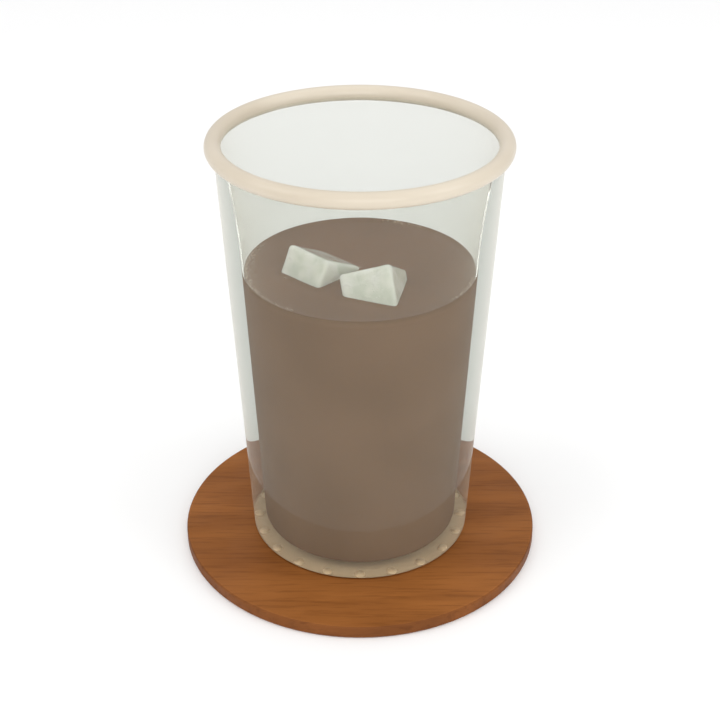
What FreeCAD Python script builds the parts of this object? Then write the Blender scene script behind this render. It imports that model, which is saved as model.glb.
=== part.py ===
"""Iced coffee in a tapered tumbler with a rolled rim, standing on its round coaster.

All sizes are in millimetres. The origin is the centre of the coaster's underside, +Z is up, and
the coffee's front, where both ice cubes show, faces -Y. Each piece is a closed solid of its own:
the pieces touch face to face and never overlap.
"""
import FreeCAD, Part
import math
import os

Vector = FreeCAD.Vector

# Coaster: a turned disc with softened edges.
COASTER_RADIUS = 54.3
COASTER_THICKNESS = 4.0
COASTER_EDGE = 0.7

# Tumbler: heights are measured from the coaster's top face.
FOOT_RADIUS = 33.1
FOOT_EDGE = 0.7
RIM_HEIGHT = 124.3
WALL_TOP_RADIUS = 39.9
LIP_THICKNESS = 2.0
BASE_LIFT = 0.4

# Bearing nubs moulded under the foot: blunt cones, tip down.
NUB_COUNT = 20
NUB_RING_RADIUS = 30.9
NUB_TIP_RADIUS = 0.9
NUB_ROOT_RADIUS = 1.5
NUB_EMBED = 0.3

# Rolled rim bead, seated on the lip.
BEAD_CENTRE_RADIUS = 40.0
BEAD_RADIUS = 2.32

# Hollow and drink.
FLOOR_HEIGHT = 2.8
FLOOR_RADIUS = 28.9
FLOOR_CORNER = 1.3
DRINK_LEVEL = 86.8
DRINK_TOP_RADIUS = 33.1
THINNING_START = 89.0

# Ice cubes: edge, rounding, and where each floats in the drink (centre from the axis and the
# drink's surface, then its turn as yaw, pitch and roll in degrees).
ICE_ROUND = 1.0
ICE_LEFT = dict(edge=15.8, centre=(-12.2, -3.5, -3.2), turn=(-43.8, 0.4, -26.9))
ICE_RIGHT = dict(edge=15.4, centre=(4.7, -14.7, -2.7), turn=(-11.5, -18.7, -32.2))

SEAT = COASTER_THICKNESS
HOLLOW_SLOPE = (DRINK_TOP_RADIUS - FLOOR_RADIUS) / (DRINK_LEVEL - FLOOR_HEIGHT)
OUTER_SLOPE = (WALL_TOP_RADIUS - FOOT_RADIUS) / RIM_HEIGHT


def point(radius, height):
    """A point of a turned profile, in the plane y = 0."""
    return Vector(radius, 0, height)


def hollow_radius(height):
    """Radius of the straight part of the hollow at a height above the coaster's top."""
    return FLOOR_RADIUS + HOLLOW_SLOPE * (height - FLOOR_HEIGHT)


def turned(edges):
    """Solid of revolution about Z from a closed chain of profile edges."""
    face = Part.Face(Part.Wire(edges))
    solid = face.revolve(Vector(0, 0, 0), Vector(0, 0, 1), 360)
    return Part.Solid(solid) if solid.ShapeType == "Shell" else solid


def line(start, end):
    return Part.makeLine(start, end)


def corner_arc(before, corner, after, radius):
    """Tangent arc that rounds a profile corner; returns its start, its end and the edge."""
    towards_before = (before - corner).normalize()
    towards_after = (after - corner).normalize()
    half_angle = towards_before.getAngle(towards_after) / 2
    setback = radius / math.tan(half_angle)
    start = corner + towards_before * setback
    end = corner + towards_after * setback
    bisector = (towards_before + towards_after).normalize()
    centre = corner + bisector * (radius / math.sin(half_angle))
    middle = centre - bisector * radius
    return start, end, Part.Arc(start, middle, end).toShape()


def rounded_profile(corners):
    """Closed chain of edges through (point, rounding) corners; a rounding of 0 stays sharp."""
    edges = []
    count = len(corners)
    ends = []
    for index, (corner, radius) in enumerate(corners):
        before = corners[index - 1][0]
        after = corners[(index + 1) % count][0]
        if radius > 0:
            ends.append(corner_arc(before, corner, after, radius))
        else:
            ends.append((corner, corner, None))
    for index in range(count):
        start, end, arc = ends[index]
        if arc is not None:
            edges.append(arc)
        edges.append(line(end, ends[(index + 1) % count][0]))
    return edges


def make_coaster():
    """Flat disc with both rims softened."""
    corners = [
        (point(0, 0), 0),
        (point(COASTER_RADIUS, 0), COASTER_EDGE),
        (point(COASTER_RADIUS, COASTER_THICKNESS), COASTER_EDGE),
        (point(0, COASTER_THICKNESS), 0),
    ]
    return turned(rounded_profile(corners))


def make_bead():
    """Round bead that caps the lip all the way round."""
    return Part.makeTorus(BEAD_CENTRE_RADIUS, BEAD_RADIUS, Vector(0, 0, SEAT + RIM_HEIGHT))


def thinning_arc():
    """Arc that leaves the straight hollow tangentially and thins the wall up to the lip."""
    start = point(hollow_radius(THINNING_START), THINNING_START)
    end = point(WALL_TOP_RADIUS - LIP_THICKNESS, RIM_HEIGHT)
    tangent = Vector(HOLLOW_SLOPE, 0, 1).normalize()
    chord = end - start
    normal = Vector(tangent.z, 0, -tangent.x)
    radius = chord.Length ** 2 / (2 * chord.dot(normal))
    centre = start + normal * radius
    to_middle = ((start - centre) + (end - centre)).normalize()
    return start, end, Part.Arc(start, centre + to_middle * abs(radius), end).toShape()


def make_nubs():
    """Low blunt cones round the foot that carry the tumbler on the coaster."""
    height = BASE_LIFT + NUB_EMBED
    nubs = []
    for index in range(NUB_COUNT):
        angle = 2 * math.pi * index / NUB_COUNT
        tip = Vector(NUB_RING_RADIUS * math.cos(angle), NUB_RING_RADIUS * math.sin(angle), 0)
        nubs.append(Part.makeCone(NUB_TIP_RADIUS, NUB_ROOT_RADIUS, height, tip))
    return nubs


def make_glass(bead):
    """Thick-walled tumbler: straight taper outside, thinning to the lip under the bead."""
    arc_start, arc_end, arc = thinning_arc()
    foot = point(FOOT_RADIUS + OUTER_SLOPE * BASE_LIFT, BASE_LIFT)
    top = point(WALL_TOP_RADIUS, RIM_HEIGHT)
    floor_corner = point(FLOOR_RADIUS, FLOOR_HEIGHT)
    floor_centre = point(0, FLOOR_HEIGHT)
    underside = point(0, BASE_LIFT)
    foot_start, foot_end, foot_arc = corner_arc(underside, foot, top, FOOT_EDGE)
    floor_start, floor_end, floor_arc = corner_arc(floor_centre, floor_corner, arc_start, FLOOR_CORNER)
    edges = [
        line(underside, foot_start), foot_arc, line(foot_end, top), line(top, arc_end), arc,
        line(arc_start, floor_end), floor_arc, line(floor_start, floor_centre),
        line(floor_centre, underside),
    ]
    body = turned(Part.sortEdges(edges)[0])
    body = body.fuse(make_nubs())
    body.translate(Vector(0, 0, SEAT))
    return body.cut(bead)


def make_ice(edge, centre, turn):
    """Cube with rounded edges, turned and floated to its place."""
    half = edge / 2
    cube = Part.makeBox(edge, edge, edge, Vector(-half, -half, -half))
    cube = cube.makeFillet(ICE_ROUND, cube.Edges)
    place = Vector(*centre) + Vector(0, 0, SEAT + DRINK_LEVEL)
    cube.Placement = FreeCAD.Placement(place, FreeCAD.Rotation(*turn))
    return cube


def make_coffee(ice):
    """Drink that fills the hollow up to its level, cut round the floating ice."""
    floor_corner = point(FLOOR_RADIUS, FLOOR_HEIGHT)
    corners = [
        (point(0, FLOOR_HEIGHT), 0),
        (floor_corner, FLOOR_CORNER),
        (point(hollow_radius(DRINK_LEVEL), DRINK_LEVEL), 0),
        (point(0, DRINK_LEVEL), 0),
    ]
    body = turned(rounded_profile(corners))
    body.translate(Vector(0, 0, SEAT))
    return body.cut(ice)


def as_solid(shape):
    """The single solid of a boolean result."""
    solids = shape.Solids
    if len(solids) != 1 or not solids[0].isValid():
        raise ValueError("expected one valid solid")
    return solids[0]


def main():
    os.makedirs("parts", exist_ok=True)
    bead = make_bead()
    ice_left = make_ice(**ICE_LEFT)
    ice_right = make_ice(**ICE_RIGHT)
    pieces = {
        "coaster": make_coaster(),
        "glass": make_glass(bead),
        "rim": bead,
        "coffee": make_coffee([ice_left, ice_right]),
        "ice_left": ice_left,
        "ice_right": ice_right,
    }
    for name, shape in pieces.items():
        solid = as_solid(shape)
        solid.exportStep("parts/" + name + ".step")
        print(name, round(solid.Volume / 1000, 2), "ml")


main()
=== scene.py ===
"""Looks of an iced coffee: a tapered tumbler with a rolled rim, two thirds full, on its coaster."""
import math
import random

import bmesh
import bpy
from mathutils import Euler, Matrix, Vector, noise
from mathutils.kdtree import KDTree


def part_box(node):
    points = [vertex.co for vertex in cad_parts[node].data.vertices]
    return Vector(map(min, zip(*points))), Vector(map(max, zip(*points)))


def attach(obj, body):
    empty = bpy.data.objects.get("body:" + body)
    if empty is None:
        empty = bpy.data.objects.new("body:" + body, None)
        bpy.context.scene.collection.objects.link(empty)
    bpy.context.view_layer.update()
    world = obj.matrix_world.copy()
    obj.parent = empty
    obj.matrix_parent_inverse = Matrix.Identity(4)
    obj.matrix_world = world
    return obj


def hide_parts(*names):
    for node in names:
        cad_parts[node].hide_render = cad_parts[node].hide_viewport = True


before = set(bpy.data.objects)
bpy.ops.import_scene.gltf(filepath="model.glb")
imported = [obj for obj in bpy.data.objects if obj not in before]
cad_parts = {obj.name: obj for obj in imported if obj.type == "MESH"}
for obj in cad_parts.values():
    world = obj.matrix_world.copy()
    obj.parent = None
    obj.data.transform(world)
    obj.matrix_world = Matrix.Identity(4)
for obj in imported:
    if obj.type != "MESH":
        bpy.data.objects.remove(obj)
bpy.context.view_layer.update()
MM = 0.001


# ---------------------------------------------------------------------------------------------
# Coaster. A disc turned from one board, 4 mm thick, sanded, stained mid brown and wiped with oil.
# The grain runs left to right. The lathe leaves both edges eased, so they catch a thin line of light.

coaster_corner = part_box("coaster")[1]
coaster_top = coaster_corner.z
coaster_radius = coaster_corner.x
coaster_edge = 0.7 * MM
edge_steps = 6
turned_segments = 320


def arc_points(centre_r, centre_z, radius, start_deg, end_deg, steps):
    """Points of an arc in a turned profile, ends included."""
    points = []
    for step in range(steps + 1):
        angle = math.radians(start_deg + (end_deg - start_deg) * step / steps)
        points.append((centre_r + radius * math.cos(angle), centre_z + radius * math.sin(angle)))
    return points


def straight_points(start, end, steps):
    """Evenly spaced points on a straight stretch of profile, without its two ends."""
    return [
        (start[0] + (end[0] - start[0]) * step / steps, start[1] + (end[1] - start[1]) * step / steps)
        for step in range(1, steps)
    ]


def turn_profile(name, profile, segments=turned_segments, lift=None):
    """Closed mesh turned about Z from (radius, height) points; lift(x, y, z) may raise each point."""
    shape = bmesh.new()
    rings = []
    for radius, height in profile:
        ring = []
        count = 1 if radius < 1e-9 else segments
        for index in range(count):
            angle = 2 * math.pi * index / segments
            x, y = radius * math.cos(angle), radius * math.sin(angle)
            z = height if lift is None else height + lift(x, y, height)
            ring.append(shape.verts.new((x, y, z)))
        rings.append(ring)
    for lower, upper in zip(rings, rings[1:]):
        for index in range(segments):
            after = (index + 1) % segments
            if len(lower) == 1:
                shape.faces.new((lower[0], upper[after], upper[index]))
            elif len(upper) == 1:
                shape.faces.new((lower[index], lower[after], upper[0]))
            else:
                shape.faces.new((lower[index], lower[after], upper[after], upper[index]))
    bmesh.ops.recalc_face_normals(shape, faces=shape.faces)
    return piece_from(name, shape)


def piece_from(name, shape):
    """Smooth-shaded object from a finished bmesh."""
    mesh = bpy.data.meshes.new(name)
    shape.to_mesh(mesh)
    shape.free()
    for face in mesh.polygons:
        face.use_smooth = True
    piece = bpy.data.objects.new(name, mesh)
    bpy.context.scene.collection.objects.link(piece)
    return piece


def fit_piece(piece, slot, material, *nodes):
    """Gives a piece its material, fixes it to the body and lets it stand for its CAD nodes; slot is not used.
    """
    piece.data.materials.clear()
    piece.data.materials.append(material)
    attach(piece, "root")
    if nodes:
        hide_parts(*nodes)


def finish_faces(piece, material, chosen):
    """Gives a piece its second material on the faces that chosen(face) picks."""
    piece.data.materials.append(material)
    for face in piece.data.polygons:
        if chosen(face):
            face.material_index = 1


def srgb(red, green, blue):
    """Linear colour, with alpha 1, from the 0-255 values of a paint chart."""
    def linear(value):
        value /= 255
        return value / 12.92 if value <= 0.04045 else ((value + 0.055) / 1.055) ** 2.4
    return (linear(red), linear(green), linear(blue), 1.0)


def set_values(node, values):
    """Plain values for a node's inputs."""
    for name, value in values.items():
        node.inputs[name].default_value = value


def add_node(nodes, kind, values=None, **settings):
    """New shader node with its own settings, then plain values for its inputs."""
    node = nodes.new("ShaderNode" + kind)
    for name, setting in settings.items():
        setattr(node, name, setting)
    set_values(node, values or {})
    return node


def new_material(name):
    """Material with one Principled BSDF; returns it with its nodes, links and shader."""
    material = bpy.data.materials.new(name)
    material.use_nodes = True
    nodes = material.node_tree.nodes
    return material, nodes, material.node_tree.links, nodes["Principled BSDF"]


def build_uneven_surface():
    """Group that many finishes share: soft unevenness, raw as a height and spread between Low and High."""
    group = bpy.data.node_groups.new("uneven_surface", "ShaderNodeTree")
    for name in ("Scale", "Detail", "Low", "High"):
        group.interface.new_socket(name, in_out="INPUT", socket_type="NodeSocketFloat")
    for name in ("Height", "Value"):
        group.interface.new_socket(name, in_out="OUTPUT", socket_type="NodeSocketFloat")
    nodes, links = group.nodes, group.links
    inputs = nodes.new("NodeGroupInput")
    outputs = nodes.new("NodeGroupOutput")
    place = add_node(nodes, "TexCoord")
    cloud = add_node(nodes, "TexNoise")
    spread = add_node(nodes, "MapRange", {"From Min": 0.3, "From Max": 0.7}, interpolation_type="SMOOTHSTEP")
    links.new(place.outputs["Object"], cloud.inputs["Vector"])
    links.new(inputs.outputs["Scale"], cloud.inputs["Scale"])
    links.new(inputs.outputs["Detail"], cloud.inputs["Detail"])
    links.new(cloud.outputs["Fac"], spread.inputs["Value"])
    links.new(inputs.outputs["Low"], spread.inputs["To Min"])
    links.new(inputs.outputs["High"], spread.inputs["To Max"])
    links.new(cloud.outputs["Fac"], outputs.inputs["Height"])
    links.new(spread.outputs["Result"], outputs.inputs["Value"])
    return group


uneven_surface = build_uneven_surface()


def add_uneven(nodes, scale, detail, low=0.0, high=1.0):
    """Places the shared unevenness in a material with its own values."""
    values = {"Scale": scale, "Detail": detail, "Low": low, "High": high}
    return add_node(nodes, "Group", values, node_tree=uneven_surface)


def add_bump(nodes, links, shader, height, strength, distance):
    """Feeds a height into the shader's normal."""
    bump = add_node(nodes, "Bump", {"Strength": strength, "Distance": distance})
    links.new(height, bump.inputs["Height"])
    links.new(bump.outputs["Normal"], shader.inputs["Normal"])


def two_tone(nodes, links, shader, factor, first, second):
    """Colours a surface between two tones."""
    tone = add_node(nodes, "Mix", {"A": first, "B": second}, data_type="RGBA")
    links.new(factor, tone.inputs["Factor"])
    links.new(tone.outputs["Result"], shader.inputs["Base Color"])


def add_ramp(nodes, start, first, end, last):
    """Colour ramp between two stops."""
    ramp = add_node(nodes, "ValToRGB")
    for stop, position, colour in zip(ramp.color_ramp.elements, (start, end), (first, last)):
        stop.position = position
        stop.color = colour
    return ramp


def grain_noise(nodes, links, place, stretch, values):
    """Noise drawn out along the grain; stretch is how fine it is along X, Y and Z."""
    run = add_node(nodes, "Mapping", {"Scale": stretch})
    grain = add_node(nodes, "TexNoise", {"Scale": 1.0, **values})
    links.new(place.outputs["Object"], run.inputs["Vector"])
    links.new(run.outputs["Vector"], grain.inputs["Vector"])
    return grain.outputs["Fac"]


def oiled_wood(name, dark, light):
    """Long figure bands between two tones, fine dark pores along the grain, and a satin oil finish."""
    material, nodes, links, shader = new_material(name)
    place = add_node(nodes, "TexCoord")
    fibre = grain_noise(nodes, links, place, (55.0, 900.0, 500.0), {"Detail": 8.0, "Roughness": 0.62})
    figure = grain_noise(nodes, links, place, (16.0, 90.0, 45.0), {"Detail": 3.0, "Distortion": 0.6})
    bands = add_ramp(nodes, 0.30, dark, 0.70, light)
    pores = add_ramp(nodes, 0.36, (0.62, 0.58, 0.55, 1.0), 0.50, (1.0, 1.0, 1.0, 1.0))
    stain = add_node(nodes, "Mix", {"Factor": 0.55}, data_type="RGBA", blend_type="MULTIPLY")
    links.new(figure, bands.inputs["Fac"])
    links.new(fibre, pores.inputs["Fac"])
    links.new(bands.outputs["Color"], stain.inputs["A"])
    links.new(pores.outputs["Color"], stain.inputs["B"])
    links.new(stain.outputs["Result"], shader.inputs["Base Color"])
    shader.inputs["Specular IOR Level"].default_value = 0.12
    oil = add_uneven(nodes, 90.0, 3.0, 0.45, 0.60)
    links.new(oil.outputs["Value"], shader.inputs["Roughness"])
    add_bump(nodes, links, shader, fibre, 0.3, 0.0002)
    return material


coaster_eased = coaster_radius - coaster_edge
coaster_profile = (
    [(0, 0), (coaster_radius * 0.5, 0)]
    + arc_points(coaster_eased, coaster_edge, coaster_edge, -90, 0, edge_steps)
    + arc_points(coaster_eased, coaster_top - coaster_edge, coaster_edge, 0, 90, edge_steps)
    + [(coaster_radius * 0.5, coaster_top), (0, coaster_top)]
)
coaster_board = turn_profile("coaster_board", coaster_profile)
board_face = oiled_wood("oiled_board_face", srgb(128, 76, 34), srgb(156, 97, 47))
# The side is the same oiled wood in darker tones: painted shade, as if the side were turned from the light.
board_side_painted_shade = oiled_wood("oiled_board_side_painted_shade", srgb(108, 62, 27), srgb(134, 80, 38))
fit_piece(coaster_board, "coaster_wood", board_face, "coaster")
# The steep side faces take the darker wood of painted shade.
finish_faces(coaster_board, board_side_painted_shade, lambda face: abs(face.normal.z) < 0.8)


# ---------------------------------------------------------------------------------------------
# Tumbler. Pressed soda glass with a faint grey-green body tint, a thick wall that thins to the lip,
# and a ring of small bearing nubs moulded under the foot. A breath of mist from the cold dulls it a little.

rim_low, rim_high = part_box("rim")
bead_radius = (rim_high.z - rim_low.z) / 2
bead_centre_z = (rim_high.z + rim_low.z) / 2
bead_centre_r = rim_high.x - bead_radius
drink_low, drink_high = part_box("coffee")
floor_z = drink_low.z
drink_level = drink_high.z
drink_radius = drink_high.x

foot_radius = 33.1 * MM
foot_edge = 0.7 * MM
wall_top_radius = 39.9 * MM
lip_thickness = 2.0 * MM
floor_radius = 28.9 * MM
floor_corner = 1.3 * MM
base_lift = 0.4 * MM
base_dome = 0.5 * MM
nub_count = 20
nub_ring_radius = 30.9 * MM
nub_radius = 1.5 * MM
nub_embed = 0.15 * MM
nub_clearance = 0.02 * MM  # keeps the tips just off the coaster's face

underside_z = coaster_top + base_lift
foot_z = underside_z + foot_edge
thinning_z = drink_level + 2.2 * MM
dome_radius = nub_ring_radius - 1.3 * nub_radius  # the domed middle ends inside the ring of nubs
hollow_slope = (drink_radius - floor_radius) / (drink_level - floor_z)
outer_slope = (wall_top_radius - foot_radius) / (bead_centre_z - coaster_top)
wall_steps = 24
thinning_steps = 16
corner_steps = 8
dome_steps = 8


def hollow_radius(z):
    """Radius of the hollow where its wall is straight."""
    return floor_radius + hollow_slope * (z - floor_z)


def outer_radius(z):
    """Radius of the straight outside."""
    return foot_radius + outer_slope * (z - coaster_top)


def thinning_points(steps):
    """Long arc that leaves the straight hollow tangentially and thins the wall up to the lip."""
    start = Vector((hollow_radius(thinning_z), thinning_z))
    end = Vector((wall_top_radius - lip_thickness, bead_centre_z))
    tangent = Vector((hollow_slope, 1.0)).normalized()
    normal = Vector((tangent.y, -tangent.x))
    chord = end - start
    radius = chord.length_squared / (2 * chord.dot(normal))
    centre = start + normal * radius
    start_deg = math.degrees(math.atan2(start.y - centre.y, start.x - centre.x)) % 360
    end_deg = math.degrees(math.atan2(end.y - centre.y, end.x - centre.x)) % 360
    return arc_points(centre.x, centre.y, radius, start_deg, end_deg, steps)


def floor_corner_points(grow, steps):
    """Rounded inside corner of the floor, from the wall down to the floor; grow pushes it outward."""
    wall_lean = math.degrees(math.atan(hollow_slope))
    half_turn = math.radians(90 + wall_lean) / 2
    setback = floor_corner / math.tan(half_turn)
    centre_r = floor_radius - setback
    centre_z = floor_z + floor_corner
    return arc_points(centre_r, centre_z, floor_corner + grow, -wall_lean, -90, steps)


def tumbler_profile():
    """Section of the glass: out along the domed underside, up the outside, and down the hollow."""
    lip_outside = (wall_top_radius, bead_centre_z)
    lip_inside = (wall_top_radius - lip_thickness, bead_centre_z)
    hollow_top = (hollow_radius(thinning_z), thinning_z)
    hollow_foot = (hollow_radius(floor_z), floor_z)
    profile = [
        (dome_radius * step / dome_steps, underside_z + base_dome * (1 - (step / dome_steps) ** 2))
        for step in range(dome_steps + 1)
    ]
    profile += arc_points(outer_radius(foot_z) - foot_edge, foot_z, foot_edge, -90, 0, corner_steps)
    profile += straight_points((outer_radius(foot_z), foot_z), lip_outside, wall_steps)
    profile += [lip_outside, lip_inside]
    profile += thinning_points(thinning_steps)[-2::-1]
    profile += straight_points(hollow_top, hollow_foot, wall_steps)[:-1]
    profile += floor_corner_points(0.0, corner_steps)
    return profile + [(floor_radius * 0.5, floor_z), (0, floor_z)]


glass_body = (0.53, 0.585, 0.555, 1.0)
cold_mist = srgb(255, 236, 212)


def pressed_glass(name, clear, polish_low, polish_high, skin):
    """Glass with its polish, a tint that deepens with thickness and soft waves; lamps shine through it. Skin
    is its surface colour, which on the foot and the nubs is a warm tan of painted reflection.
    """
    material, nodes, links, shader = new_material(name)
    set_values(shader, {
        "Base Color": skin,
        "Transmission Weight": clear,
        "IOR": 1.01,
        "Coat Weight": 0.3,
        "Coat Roughness": 0.02,
        "Coat IOR": 1.5,
        "Sheen Weight": 0.2,
        "Sheen Roughness": 0.5,
        "Sheen Tint": cold_mist,
    })
    polish = add_uneven(nodes, 60.0, 2.0, polish_low, polish_high)
    links.new(polish.outputs["Value"], shader.inputs["Roughness"])
    waves = add_uneven(nodes, 28.0, 1.0)
    add_bump(nodes, links, shader, waves.outputs["Height"], 0.06, 0.0002)
    body = add_node(nodes, "VolumeAbsorption", {"Color": glass_body, "Density": 27.0})
    ray = add_node(nodes, "LightPath")
    lamp_pass = add_node(nodes, "BsdfTransparent", {"Color": skin})
    lamp_mix = add_node(nodes, "MixShader")
    output = nodes["Material Output"]
    links.new(body.outputs["Volume"], output.inputs["Volume"])
    links.new(ray.outputs["Is Shadow Ray"], lamp_mix.inputs["Fac"])
    links.new(shader.outputs["BSDF"], lamp_mix.inputs[1])
    links.new(lamp_pass.outputs["BSDF"], lamp_mix.inputs[2])
    links.new(lamp_mix.outputs["Shader"], output.inputs["Surface"])
    return material


clear_glass = pressed_glass("clear_glass", 0.965, 0.0, 0.02, srgb(238, 239, 235))
# The underside of the foot is frosted, which is real, and coloured a light warm tan, which is a painted
# reflection of the lit coaster below.
frosted_foot_painted_reflection = pressed_glass("frosted_foot_painted_reflection", 0.50, 0.15, 0.25, srgb(248, 216, 176))
tumbler = turn_profile("tumbler", tumbler_profile())
fit_piece(tumbler, "tumbler_glass", clear_glass, "glass")
dome_top = underside_z + base_dome * 1.01
# The downward faces of the foot take the frost with its painted reflection.
finish_faces(tumbler, frosted_foot_painted_reflection, lambda face: face.center.z < dome_top and face.normal.z < -0.5)


def nub_ring():
    """The moulded nubs, each a shallow dome whose flat back sits just inside the glass."""
    back_z = underside_z + nub_embed
    drop = base_lift - nub_clearance
    profile = [(0, back_z), (nub_radius, back_z)]
    for step in range(dome_steps):
        turn = math.radians(90 * step / dome_steps)
        profile.append((nub_radius * math.cos(turn), underside_z - drop * math.sin(turn)))
    profile.append((0, underside_z - drop))
    pattern = turn_profile("nub_pattern", profile, segments=32)
    shape = bmesh.new()
    for index in range(nub_count):
        angle = 2 * math.pi * index / nub_count
        before = len(shape.verts)
        shape.from_mesh(pattern.data)
        shape.verts.ensure_lookup_table()
        place = (nub_ring_radius * math.cos(angle), nub_ring_radius * math.sin(angle), 0)
        bmesh.ops.translate(shape, vec=place, verts=shape.verts[before:])
    bpy.data.objects.remove(pattern)
    return piece_from("foot_nubs", shape)


foot_nubs = nub_ring()
# The nubs are ground glass, which is real, in a light warm tan, which is a painted reflection of the lit
# coaster that makes them show as light flecks.
fit_piece(foot_nubs, "tumbler_glass", pressed_glass("ground_nub_painted_reflection", 0.58, 0.30, 0.42, srgb(243, 222, 189)))


# ---------------------------------------------------------------------------------------------
# Rim. A round bead of cream enamel fired onto the lip, glossy, and never quite even in thickness.
# It covers the lip inside and out.

bead_swell = 0.05 * MM
swell_round = 3.1
swell_across = 0.6
bead_steps = 40


def bead_mesh():
    """Torus whose section swells and thins a little on its way round, inside the nominal bead."""
    shape = bmesh.new()
    rings = []
    for index in range(turned_segments):
        angle = 2 * math.pi * index / turned_segments
        outward = Vector((math.cos(angle), math.sin(angle), 0))
        centre = outward * bead_centre_r + Vector((0, 0, bead_centre_z))
        ring = []
        for step in range(bead_steps):
            turn = 2 * math.pi * step / bead_steps
            direction = outward * math.cos(turn) + Vector((0, 0, math.sin(turn)))
            swell = noise.noise(outward * swell_round + direction * swell_across) * 0.5 + 0.5
            ring.append(shape.verts.new(centre + direction * (bead_radius - bead_swell * swell)))
        rings.append(ring)
    for index in range(turned_segments):
        here, there = rings[index], rings[(index + 1) % turned_segments]
        for step in range(bead_steps):
            after = (step + 1) % bead_steps
            shape.faces.new((here[step], here[after], there[after], there[step]))
    bmesh.ops.recalc_face_normals(shape, faces=shape.faces)
    return piece_from("rim_bead", shape)


def cream_enamel():
    """Opaque cream with a slightly orange-peel gloss."""
    material, nodes, links, shader = new_material("cream_enamel")
    tone = add_uneven(nodes, 40.0, 1.0)
    two_tone(nodes, links, shader, tone.outputs["Value"], srgb(200, 188, 169), srgb(208, 197, 179))
    gloss = add_uneven(nodes, 60.0, 1.0, 0.29, 0.37)
    links.new(gloss.outputs["Value"], shader.inputs["Roughness"])
    peel = add_uneven(nodes, 220.0, 0.0)
    add_bump(nodes, links, shader, peel.outputs["Height"], 0.06, 0.0001)
    return material


rim_bead = bead_mesh()
fit_piece(rim_bead, "rim_cream", cream_enamel(), "rim")


# ---------------------------------------------------------------------------------------------
# Ice. Two small tray cubes that have begun to melt: edges rounded, faces uneven, cloudy with air and
# wet all over. They float tilted, with a corner or a face out of the drink.

ICE = {
    "ice_left": dict(edge=15.8, centre=(-12.2, -3.5, -3.2), turn=(-43.8, 0.4, -26.9)),
    "ice_right": dict(edge=15.4, centre=(4.7, -14.7, -2.7), turn=(-11.5, -18.7, -32.2)),
}
ice_cells = 22
ice_rounding = 1.3 * MM
ice_melt = 0.25 * MM
ice_weld = 0.02 * MM
soft_waves = 160  # per metre
fine_waves = 620
soft_share = 0.75


def ice_surface_point(point, half, seed):
    """Moves a point of a plain cube to the rounded, unevenly melted surface of an ice cube."""
    inner = half - ice_rounding
    core = Vector(max(-inner, min(inner, value)) for value in point)
    out = (point - core).normalized() if (point - core).length > 1e-9 else Vector()
    soft = noise.noise(point * soft_waves + Vector((seed, 0, 0))) * 0.5 + 0.5
    fine = noise.noise(point * fine_waves + Vector((0, seed, 0))) * 0.5 + 0.5
    melted = ice_melt * (soft_share * soft + (1 - soft_share) * fine)
    return core + out * (ice_rounding - melted)


def ice_mesh(name, half, seed):
    """Cube of ice about its own centre, from six welded face grids that are finer near the edges."""
    shape = bmesh.new()
    stations = [half * math.sin(math.pi * (cell / ice_cells - 0.5)) for cell in range(ice_cells + 1)]
    for axis in range(3):
        for side in (-half, half):
            grid = []
            for across in stations:
                line = []
                for along in stations:
                    spot = [0.0, 0.0, 0.0]
                    spot[axis] = side
                    spot[(axis + 1) % 3] = across
                    spot[(axis + 2) % 3] = along
                    line.append(shape.verts.new(ice_surface_point(Vector(spot), half, seed)))
                grid.append(line)
            for row in range(ice_cells):
                for column in range(ice_cells):
                    shape.faces.new((grid[row][column], grid[row + 1][column],
                                     grid[row + 1][column + 1], grid[row][column + 1]))
    bmesh.ops.remove_doubles(shape, verts=shape.verts, dist=ice_weld)
    bmesh.ops.recalc_face_normals(shape, faces=shape.faces)
    return piece_from(name, shape)


def hair_cracks(nodes, links, place):
    """Bent cell walls, as thin lines that fade out on each side."""
    warp = add_node(nodes, "TexNoise", {"Scale": 210.0, "Detail": 2.0})
    bend = add_node(nodes, "Mix", {"Factor": 0.006}, data_type="VECTOR")
    walls = add_node(nodes, "TexVoronoi", {"Scale": 75.0}, feature="DISTANCE_TO_EDGE")
    crack = add_node(nodes, "MapRange", {"From Min": 0.0, "From Max": 0.06, "To Min": 1.0, "To Max": 0.0})
    links.new(place.outputs["Object"], warp.inputs["Vector"])
    links.new(place.outputs["Object"], bend.inputs["A"])
    links.new(warp.outputs["Color"], bend.inputs["B"])
    links.new(bend.outputs["Result"], walls.inputs["Vector"])
    links.new(walls.outputs["Distance"], crack.inputs["Value"])
    return crack.outputs["Result"]


def pinhead_bubbles(nodes, links, place):
    """Small round spots of trapped air."""
    cells = add_node(nodes, "TexVoronoi", {"Scale": 750.0})
    spots = add_node(nodes, "MapRange", {"From Min": 0.12, "From Max": 0.22, "To Min": 0.7, "To Max": 0.0})
    links.new(place.outputs["Object"], cells.inputs["Vector"])
    links.new(cells.outputs["Distance"], spots.inputs["Value"])
    return spots.outputs["Result"]


def combine(nodes, links, operation, first, second):
    """One value from two."""
    node = add_node(nodes, "Math", operation=operation)
    links.new(first, node.inputs[0])
    links.new(second, node.inputs[1])
    return node.outputs["Value"]


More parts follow.
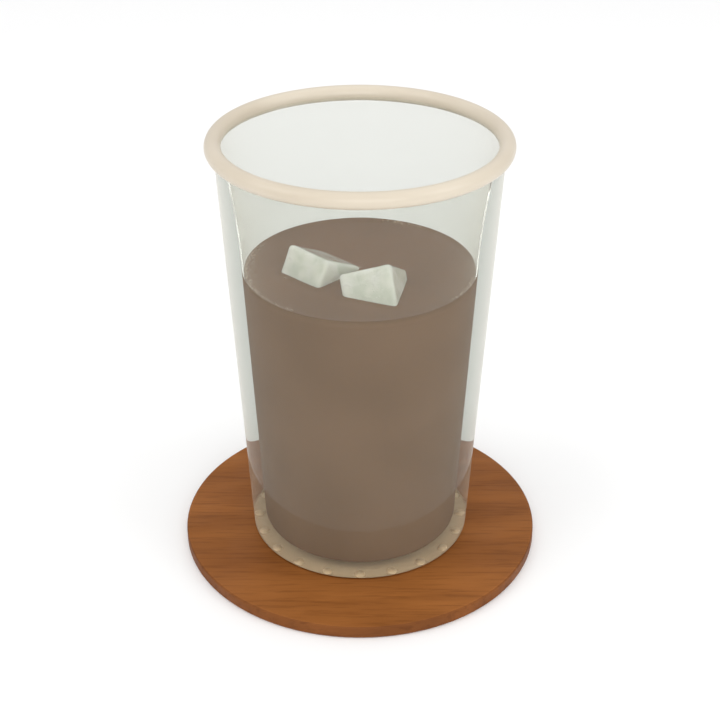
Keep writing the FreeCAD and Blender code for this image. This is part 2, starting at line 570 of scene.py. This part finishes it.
def cloudy_ice():
    """Wet ice: milky clouds inside, hair cracks that catch the light, pinhead bubbles and frosted patches."""
    material, nodes, links, shader = new_material("cloudy_ice")
    set_values(shader, {
        "Transmission Weight": 0.32,
        "IOR": 1.31,
        "Subsurface Weight": 0.35,
        "Subsurface Radius": (1.0, 1.0, 0.9),
        "Subsurface Scale": 0.003,
        "Coat Weight": 0.9,
        "Coat Roughness": 0.03,
        "Coat IOR": 1.33,
    })
    place = add_node(nodes, "TexCoord")
    haze = add_uneven(nodes, 210.0, 4.0)
    cracks = combine(nodes, links, "MULTIPLY", hair_cracks(nodes, links, place), haze.outputs["Value"])
    marks = combine(nodes, links, "MAXIMUM", cracks, pinhead_bubbles(nodes, links, place))
    cloud_tones = {"A": srgb(224, 228, 215), "B": srgb(252, 253, 243)}
    cloud = add_node(nodes, "Mix", cloud_tones, data_type="RGBA")
    white = add_node(nodes, "Mix", {"B": srgb(252, 252, 246)}, data_type="RGBA")
    links.new(haze.outputs["Value"], cloud.inputs["Factor"])
    links.new(marks, white.inputs["Factor"])
    links.new(cloud.outputs["Result"], white.inputs["A"])
    links.new(white.outputs["Result"], shader.inputs["Base Color"])
    frost = add_uneven(nodes, 420.0, 3.0, 0.06, 0.24)
    links.new(frost.outputs["Value"], shader.inputs["Roughness"])
    relief = combine(nodes, links, "ADD", frost.outputs["Height"], marks)
    add_bump(nodes, links, shader, relief, 0.35, 0.0003)
    return material


wet_ice = cloudy_ice()
ice_pieces = []
for index, (node, cube) in enumerate(ICE.items()):
    ice = ice_mesh(node + "_cube", cube["edge"] / 2 * MM, 7.3 * index)
    yaw, pitch, roll = (math.radians(value) for value in cube["turn"])
    place = Vector(cube["centre"]) * MM + Vector((0, 0, drink_level))
    ice.matrix_world = Matrix.Translation(place) @ Euler((roll, pitch, yaw), "XYZ").to_matrix().to_4x4()
    bpy.context.view_layer.update()
    fit_piece(ice, "ice", wet_ice, node)
    ice_pieces.append(ice)


# ---------------------------------------------------------------------------------------------
# Coffee. Brewed coffee with milk, poured over the ice. It wets the glass and the cubes, so it climbs a
# little at each of them, and it fills the hollow right to the wall. The surface is glossy and still.

wet_overlap = 0.06 * MM
wall_climb = 0.45 * MM
wall_climb_reach = 1.2 * MM
ice_climb = 0.5 * MM
ice_climb_reach = 0.9 * MM
still_level = drink_level - wall_climb
level_tolerance = 0.01 * MM
side_steps = 40
surface_rings = 90
ring_crowding = 1.25


def waterline_tree(pieces):
    """Points of each cube's outline at the drink's level, for distances to the ice."""
    outline = []
    for piece in pieces:
        cut = bmesh.new()
        cut.from_mesh(piece.data)
        cut.transform(piece.matrix_world)
        whole = cut.verts[:] + cut.edges[:] + cut.faces[:]
        found = bmesh.ops.bisect_plane(cut, geom=whole, plane_co=(0, 0, still_level), plane_no=(0, 0, 1))
        for item in found["geom_cut"]:
            if isinstance(item, bmesh.types.BMEdge):
                start, end = item.verts[0].co, item.verts[1].co
                outline += [start.lerp(end, share) for share in (0.0, 0.5)]
        cut.free()
    tree = KDTree(len(outline))
    for index, spot in enumerate(outline):
        tree.insert(spot, index)
    tree.balance()
    return tree


ice_waterline = waterline_tree(ice_pieces)


def climb_at_wall(gap):
    """How far the drink climbs at a gap from the wall."""
    return wall_climb * math.exp(-gap / wall_climb_reach)


def climb_at_ice(gap):
    """How far the drink climbs at a gap from the nearest cube."""
    return ice_climb * math.exp(-gap / ice_climb_reach)


def drink_lift(x, y, z):
    """Height that the wetted ice adds to the surface; the sides and the floor stay as they are."""
    if z < still_level - level_tolerance:
        return 0.0
    return climb_at_ice(ice_waterline.find((x, y, still_level))[2])


def surface_profile():
    """The drink's top from the wall to the middle, with the meniscus at the glass."""
    edge = hollow_radius(drink_level) + wet_overlap
    points = []
    for ring in range(surface_rings):
        radius = edge * (1 - (ring / surface_rings) ** ring_crowding)
        points.append((radius, still_level + climb_at_wall(edge - radius)))
    return points + [(0, still_level)]


def drink_profile():
    """Section of the drink: out along the floor, round its corner, up the wall and in along the top."""
    side_foot = (hollow_radius(floor_z + floor_corner) + wet_overlap, floor_z + floor_corner)
    side_top = (hollow_radius(still_level) + wet_overlap, still_level - 2 * level_tolerance)
    profile = [(0, floor_z - wet_overlap), (floor_radius * 0.5, floor_z - wet_overlap)]
    profile += floor_corner_points(wet_overlap, corner_steps)[::-1]
    profile += straight_points(side_foot, side_top, side_steps)
    return profile + surface_profile()


def milky_coffee(name, deep, pale, mirror, smooth, dull):
    """Opaque milk coffee with faint clouds of milk; mirror is how strongly its surface reflects."""
    material, nodes, links, shader = new_material(name)
    milk = add_uneven(nodes, 38.0, 4.0)
    two_tone(nodes, links, shader, milk.outputs["Value"], deep, pale)
    set_values(shader, {"IOR": 1.34, "Specular IOR Level": mirror})
    ripple = add_uneven(nodes, 50.0, 2.0, smooth, dull)
    links.new(ripple.outputs["Value"], shader.inputs["Roughness"])
    add_bump(nodes, links, shader, milk.outputs["Height"], 0.08, 0.0004)
    return material


def cut_round(piece, cutters):
    """Cuts the ice out of the drink, leaving the drink just into the ice."""
    for cutter in cutters:
        slim = cutter.copy()
        slim.data = cutter.data.copy()
        slim.data.transform(Matrix.Scale(0.99, 4))
        bpy.context.scene.collection.objects.link(slim)
        trim = piece.modifiers.new("trim", "BOOLEAN")
        trim.operation = "DIFFERENCE"
        trim.solver = "EXACT"
        trim.object = slim
        bpy.context.view_layer.update()
        settled = bpy.data.meshes.new_from_object(piece.evaluated_get(bpy.context.evaluated_depsgraph_get()))
        piece.modifiers.clear()
        piece.data = settled
        bpy.data.objects.remove(slim)
    for face in piece.data.polygons:
        face.use_smooth = True


drink = turn_profile("drink", drink_profile(), lift=drink_lift)
cut_round(drink, ice_pieces)
at_glass = milky_coffee("coffee_at_glass", srgb(104, 80, 58), srgb(112, 87, 65), 0.03, 0.5, 0.6)
at_surface = milky_coffee("coffee_surface", srgb(102, 73, 47), srgb(112, 81, 55), 0.06, 0.05, 0.12)
fit_piece(drink, "coffee_drink", at_glass, "coffee")
top_from = still_level - level_tolerance
finish_faces(drink, at_surface, lambda face: face.normal.z > 0.3 and face.center.z > top_from)


# ---------------------------------------------------------------------------------------------
# Bubbles. Small air bubbles left by pouring, gathered where the drink meets the glass and the ice.
# Each is a flattened ball, half sunk in the surface and at most a millimetre across.

random.seed(11)
bubble_count = 110
bubble_sizes = (0.18 * MM, 0.5 * MM)
wall_share = 0.8
cluster_count = 9
cluster_spread = 0.10
wall_drift = 0.5 * MM
open_surface = 26 * MM
nearest_ice = 0.3 * MM
furthest_ice = 1.4 * MM
bubble_squash = 0.7


def bubble_places():
    """Centres and radii: most along the wall, in loose clusters, the rest beside the ice."""
    places = []
    clusters = [random.uniform(0, 2 * math.pi) for _ in range(cluster_count)]
    wall = hollow_radius(drink_level)
    while len(places) < bubble_count:
        size = random.uniform(*bubble_sizes)
        at_wall = random.random() < wall_share
        if at_wall:
            angle = random.choice(clusters) + random.gauss(0, cluster_spread)
            radius = wall - size - abs(random.gauss(0, wall_drift))
        else:
            angle = random.uniform(0, 2 * math.pi)
            radius = random.uniform(0, open_surface)
        spot = Vector((radius * math.cos(angle), radius * math.sin(angle), still_level))
        from_ice = ice_waterline.find(spot)[2]
        if not at_wall and not nearest_ice < from_ice < furthest_ice:
            continue
        climb = climb_at_wall(wall - radius) if at_wall else climb_at_ice(from_ice)
        if all((spot - other).to_2d().length > size + other_size for other, other_size in places):
            places.append((spot + Vector((0, 0, climb)), size))
    return places


def bubble_skin():
    """Glossy, slightly paler film of the same drink."""
    material, nodes, links, shader = new_material("bubble_skin")
    tone = add_uneven(nodes, 400.0, 2.0)
    two_tone(nodes, links, shader, tone.outputs["Value"], srgb(140, 116, 92), srgb(158, 136, 112))
    film = add_uneven(nodes, 300.0, 1.0, 0.04, 0.10)
    links.new(film.outputs["Value"], shader.inputs["Roughness"])
    add_bump(nodes, links, shader, film.outputs["Height"], 0.05, 0.0001)
    return material


bubble_shape = bmesh.new()
for spot, size in bubble_places():
    ball = bmesh.ops.create_icosphere(
        bubble_shape, subdivisions=2, radius=size, matrix=Matrix.Translation(spot))["verts"]
    bmesh.ops.scale(bubble_shape, vec=(1, 1, bubble_squash), space=Matrix.Translation(-spot), verts=ball)
bubbles = piece_from("drink_bubbles", bubble_shape)
fit_piece(bubbles, "coffee_drink", bubble_skin())


# ---------------------------------------------------------------------------------------------
# Stage. A plain pale floor, a large soft box overhead, a soft key from the left, a weaker fill on the
# right and a low front light; the camera looks down at the front from thirty degrees.

floor_half = 3.0
floor_corners = [(-floor_half, -floor_half, 0), (floor_half, -floor_half, 0),
                 (floor_half, floor_half, 0), (-floor_half, floor_half, 0)]
floor_mesh = bpy.data.meshes.new("floor")
floor_mesh.from_pydata(floor_corners, [], [(0, 1, 2, 3)])
floor = bpy.data.objects.new("floor", floor_mesh)
bpy.context.scene.collection.objects.link(floor)
floor_paint, _, _, floor_shader = new_material("floor_paint")
set_values(floor_shader, {"Base Color": (0.95, 0.95, 0.95, 1.0), "Roughness": 0.9})
floor_mesh.materials.append(floor_paint)

world = bpy.data.worlds.new("studio")
world.use_nodes = True
set_values(world.node_tree.nodes["Background"], {"Color": (1.0, 1.0, 1.0, 1.0), "Strength": 0.76})
bpy.context.scene.world = world


def soft_box(name, place, width, height, power):
    """Rectangular area light aimed at the middle of the glass."""
    light = bpy.data.lights.new(name, "AREA")
    light.shape = "RECTANGLE"
    light.size = width
    light.size_y = height
    light.energy = power
    lamp = bpy.data.objects.new(name, light)
    lamp.location = place
    aim = Vector((0, 0, 0.06)) - Vector(place)
    lamp.rotation_euler = aim.to_track_quat("-Z", "Y").to_euler()
    bpy.context.scene.collection.objects.link(lamp)


soft_box("overhead", (0.1, 0.3, 1.5), 1.8, 1.8, 5.0)
soft_box("key", (-0.8, -0.3, 0.9), 0.6, 0.8, 2.8)
soft_box("fill", (0.8, -0.3, 0.6), 0.4, 0.7, 1.8)
soft_box("front", (0.1, -1.1, 0.5), 0.9, 0.5, 4.0)

elevation = math.radians(30.0)
distance = 0.4125
aim_height = 0.0599
camera_data = bpy.data.cameras.new("camera")
camera_data.lens = 69.7
camera_data.sensor_width = 36.0
camera = bpy.data.objects.new("camera", camera_data)
camera.location = (0.0, -distance * math.cos(elevation), aim_height + distance * math.sin(elevation))
camera.rotation_euler = (math.pi / 2 - elevation, 0.0, 0.0)
bpy.context.scene.collection.objects.link(camera)
bpy.context.scene.camera = camera
bpy.context.scene.view_settings.view_transform = "Standard"
